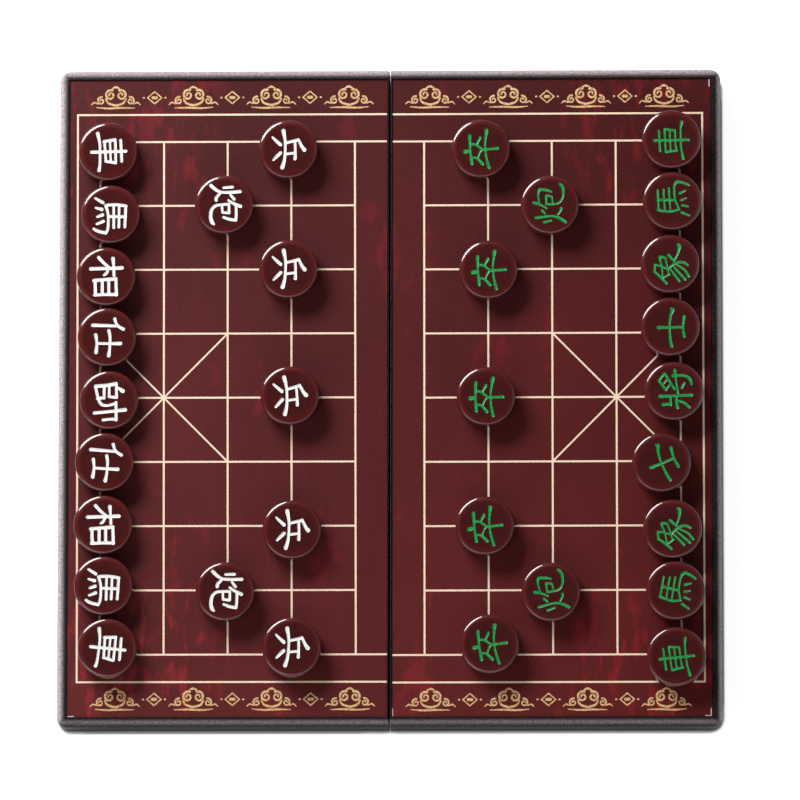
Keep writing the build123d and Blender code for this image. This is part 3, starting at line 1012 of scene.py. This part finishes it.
def cloud(flip):
    """A scroll cloud about 21 mm wide: a pair of curls, two smaller ones beside them, and tails."""
    strokes = []
    for side in (-1, 1):
        mirror = flip * side
        strokes.append(curl(2.25, 1.15, 2.3, 110, -1.35, 1.0, mirror))
        strokes.append(curl(6.2, -1.3, 1.75, 100, -1.25, 0.85, mirror))
        strokes.append(flipped(CLOUD_NECK, mirror))
        strokes.append(flipped(CLOUD_TAIL, mirror))
    return [*strokes, flipped(CLOUD_BASE, flip), flipped(CLOUD_CAP, flip)]


def lozenge():
    """A small diamond in an open diamond frame, with a dot at each side."""
    corners = [(3.0, 0.0), (0.0, 2.6), (-3.0, 0.0), (0.0, -2.6)]
    strokes = [[(*a, 0.55), (*b, 0.55)] for a, b in zip(corners, corners[1:] + corners[:1])]
    strokes.append([(-0.7, 0.0, 1.3), (0.7, 0.0, 1.3)])
    strokes += [[(x - 0.1, 0.0, 0.8), (x + 0.1, 0.0, 0.8)] for x in (-4.6, 4.6)]
    return strokes


ORNAMENT_Y_MM = 128.4
ORNAMENT_STEP_MM = 0.6
CLOUD_PITCH_MM = 33.0
CLOUDS = 4


def ornaments(side):
    """Clouds and lozenges in turn, along both margins of one half."""
    middle = side * (PANEL_NEAR_MM + BORDER_X_MM) / 2
    lines = []
    for end in (-1, 1):
        for number in range(2 * CLOUDS - 1):
            x = middle + (number - (CLOUDS - 1)) * CLOUD_PITCH_MM / 2
            motif = cloud(1 if number % 4 == 0 else -1) if number % 2 == 0 else lozenge()
            for stroke in motif:
                moved = [(px + x, py + end * ORNAMENT_Y_MM, width) for px, py, width in stroke]
                lines.append(smooth_line(moved, ORNAMENT_STEP_MM))
    return lines


# The printer's trim marks, left at the panels' corners: (x, y) to (x, y).
TRIM_MM = 0.35
TRIM_LENGTH_MM = 3.0
trim_far, trim_near = PANEL_FAR_MM - 0.6, PANEL_NEAR_MM + 0.4
trim_edge = PANEL_END_MM - TRIM_MM
trim_reach = trim_edge - TRIM_LENGTH_MM
trim_marks = {
    "left": [(-PANEL_FAR_MM + 0.6, -trim_edge, -PANEL_FAR_MM + TRIM_LENGTH_MM, -trim_edge)],
    "right": [
        (trim_near, -trim_edge, trim_near, -trim_reach),
        (PANEL_FAR_MM - TRIM_LENGTH_MM, -trim_edge, trim_far, -trim_edge),
        (trim_far, -trim_edge, trim_far, -trim_reach),
        (trim_far, trim_reach, trim_far, trim_edge),
    ],
}
for side, name in ((-1, "left"), (1, "right")):
    body = f"{name}_half"
    marks = [bar(*ends, TRIM_MM) for ends in trim_marks[name]]
    ink(f"{name}_board_lines", body, LINE_GOLD, board_lines(side), [], side)
    ink(f"{name}_board_ornaments", body, ORNAMENT_GOLD, [], ornaments(side), side)
    ink(f"{name}_trim_marks", body, WHITE_INK, marks, [])


# ------------------------------------------------- finishes of the frame

FINISHES = {
    "shell": CASE,
    "steel_sheet": ZINC,
    "board_panel": MAROON,
    "hinge_pin": STEEL,
}
for node_name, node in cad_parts.items():
    for ending, material in FINISHES.items():
        if node_name.endswith(ending):
            node.data.materials.clear()
            node.data.materials.append(material)
    if node_name.endswith("shell"):
        even_normals(node)


# ------------------------------------------------------- light and table

BAND_FOOT = (0.15, 0.40)         # sines of the elevations between which the pale band fades in
BAND_TOP = (0.76, 0.88)          # and out
BRIGHT_SIDE = (-0.31, -0.95, 0.0)
DARK_SIDE = (-0.956, 0.292, 0.0)
# Cosines of the angles from those sides between which the band's level changes.
BACK_TO_SIDE = (-0.65, -0.3)
SIDE_TO_FRONT = (0.1, 0.75)
SIDE_TO_DARK = (0.45, 0.70)
BAND_BACK = 0.10
BAND_SIDE = 0.42
BAND_FRONT = 1.05
DARK_SHARE = 0.05
CEILING_LEVEL = 0.05
TABLE_RADIUS = 6.0
TABLE_LIFT = 0.86                # glow that takes the lit table to white
# Where the table glows: within this distance it is clear of the box, as a share of open sky that
# runs from none of the glow to all of it. The last number is the rays that look for the box.
SEEN_CLEAR = (3.8 * MM, 0.72, 0.86, 32)
REFLECTED_CLEAR = (60 * MM, 0.65, 0.95, 8)


def make_world():
    """A pale band round the room, brightest in front and dark to the left, under a dark ceiling."""
    world = bpy.data.worlds.new("studio")
    bpy.context.scene.world = world
    world.use_nodes = True
    tree = world.node_tree
    tree.nodes.clear()
    direction = add(tree, "TexCoord").outputs["Generated"]
    height = add(tree, "SeparateXYZ", Vector=direction).outputs["Z"]

    def towards(side):
        return vector_calc(tree, "DOT_PRODUCT", direction, side).outputs["Value"]

    level = calc(
        tree,
        "ADD",
        spread(tree, towards(BRIGHT_SIDE), *BACK_TO_SIDE, BAND_BACK, BAND_SIDE),
        spread(tree, towards(BRIGHT_SIDE), *SIDE_TO_FRONT, 0.0, BAND_FRONT - BAND_SIDE),
    )
    band = product(
        tree,
        spread(tree, height, *BAND_FOOT),
        spread(tree, height, *BAND_TOP, 1.0, 0.0),
        level,
        spread(tree, towards(DARK_SIDE), *SIDE_TO_DARK, 1.0, DARK_SHARE),
    )
    strength = calc(tree, "ADD", band, CEILING_LEVEL)
    studio = add(tree, "Background", Color=(1, 1, 1, 1), Strength=strength)
    backdrop = add(tree, "Background", Color=(1, 1, 1, 1), Strength=1.0)
    mix = add(tree, "MixShader", Fac=add(tree, "LightPath").outputs["Is Camera Ray"])
    tree.links.new(studio.outputs[0], mix.inputs[1])
    tree.links.new(backdrop.outputs[0], mix.inputs[2])
    add(tree, "OutputWorld", Surface=mix.outputs[0])


def softbox(name, azimuth, elevation, distance, width, height, radiance):
    """A lamp that faces the board from a direction, azimuth counter-clockwise from +X."""
    lamp = bpy.data.lights.new(name, "AREA")
    lamp.shape = "ELLIPSE"
    lamp.size = width
    lamp.size_y = height
    area = math.pi / 4 * width * height
    lamp.energy = 4 * area * radiance
    holder = bpy.data.objects.new(name, lamp)
    bpy.context.scene.collection.objects.link(holder)
    a, e = math.radians(azimuth), math.radians(elevation)
    direction = Vector((math.cos(a) * math.cos(e), math.sin(a) * math.cos(e), math.sin(e)))
    holder.location = direction * distance + Vector((0, 0, PANEL_TOP))
    holder.rotation_euler = direction.to_track_quat("Z", "Y").to_euler()
    holder.visible_camera = False


def openness(tree, distance, low, high, rays):
    """How clear a spot is of things within a distance, as its share of open sky from low to high."""
    sky = add(tree, "AmbientOcclusion", Distance=distance)
    sky.samples = rays
    return spread(tree, sky.outputs["AO"], low, high)


def make_floor():
    """A wide pale table, lifted to white for the eye and for reflections, clear of the box."""
    mesh = bpy.data.meshes.new("table")
    outline = [Vector((x, y, 0)) for x, y in circle(TABLE_RADIUS, 64)]
    mesh.from_pydata(outline, [], [tuple(range(len(outline)))])
    material, shader = new_material("pale_table", Roughness=0.8, Specular_IOR_Level=0.2)
    tree = material.node_tree
    paper = noise(tree, 2.0, detail=4)
    colour_with(tree, shader, paper, srgb(204, 203, 202), srgb(210, 209, 208))
    shader.inputs["Emission Color"].default_value = (1, 1, 1, 1)
    path = add(tree, "LightPath").outputs
    seen = product(tree, path["Is Camera Ray"], openness(tree, *SEEN_CLEAR))
    mirrored = calc(tree, "MAXIMUM", path["Is Glossy Ray"], path["Is Transmission Ray"])
    reflected = product(tree, mirrored, openness(tree, *REFLECTED_CLEAR))
    lift = product(tree, calc(tree, "MAXIMUM", seen, reflected), TABLE_LIFT)
    attach(tree, lift, shader.inputs["Emission Strength"])
    make_object("table", mesh, material)


make_world()
make_floor()
softbox(
    "key_softbox", azimuth=127, elevation=34.5, distance=1.4, width=0.98, height=0.56, radiance=15.0
)
softbox(
    "fill_softbox", azimuth=232, elevation=34, distance=0.8, width=0.70, height=0.24, radiance=1.2
)


# ---------------------------------------------------------------- camera

PHOTO_WIDTH_PX = 800
FOCAL_PX = 9479.0
SENSOR_MM = 36.0
CAMERA_DISTANCE = 4.0
CAMERA_TARGET = Vector((4.396, -1.427, 19.3)) * MM
TILT_TO_FRONT = math.radians(8.0)
TILT_TO_RIGHT = math.radians(1.5)
ROLL = math.radians(0.062)


def make_camera():
    back = Vector((math.tan(TILT_TO_RIGHT), -math.tan(TILT_TO_FRONT), 1.0)).normalized()
    right = (-back).cross(Vector((0, 1, 0))).normalized()
    up = right.cross(-back)
    rolled_right = math.cos(ROLL) * right + math.sin(ROLL) * up
    rolled_up = -math.sin(ROLL) * right + math.cos(ROLL) * up
    data = bpy.data.cameras.new("camera")
    data.sensor_width = SENSOR_MM
    data.lens = FOCAL_PX / PHOTO_WIDTH_PX * SENSOR_MM
    data.clip_start = 0.1
    data.clip_end = 20.0
    camera = bpy.data.objects.new("camera", data)
    bpy.context.scene.collection.objects.link(camera)
    pose = Matrix((rolled_right, rolled_up, back)).transposed().to_4x4()
    pose.translation = CAMERA_TARGET + CAMERA_DISTANCE * back
    camera.matrix_world = pose
    bpy.context.scene.camera = camera


make_camera()
bpy.context.scene.view_settings.view_transform = "Standard"

bpy.context.view_layer.update()
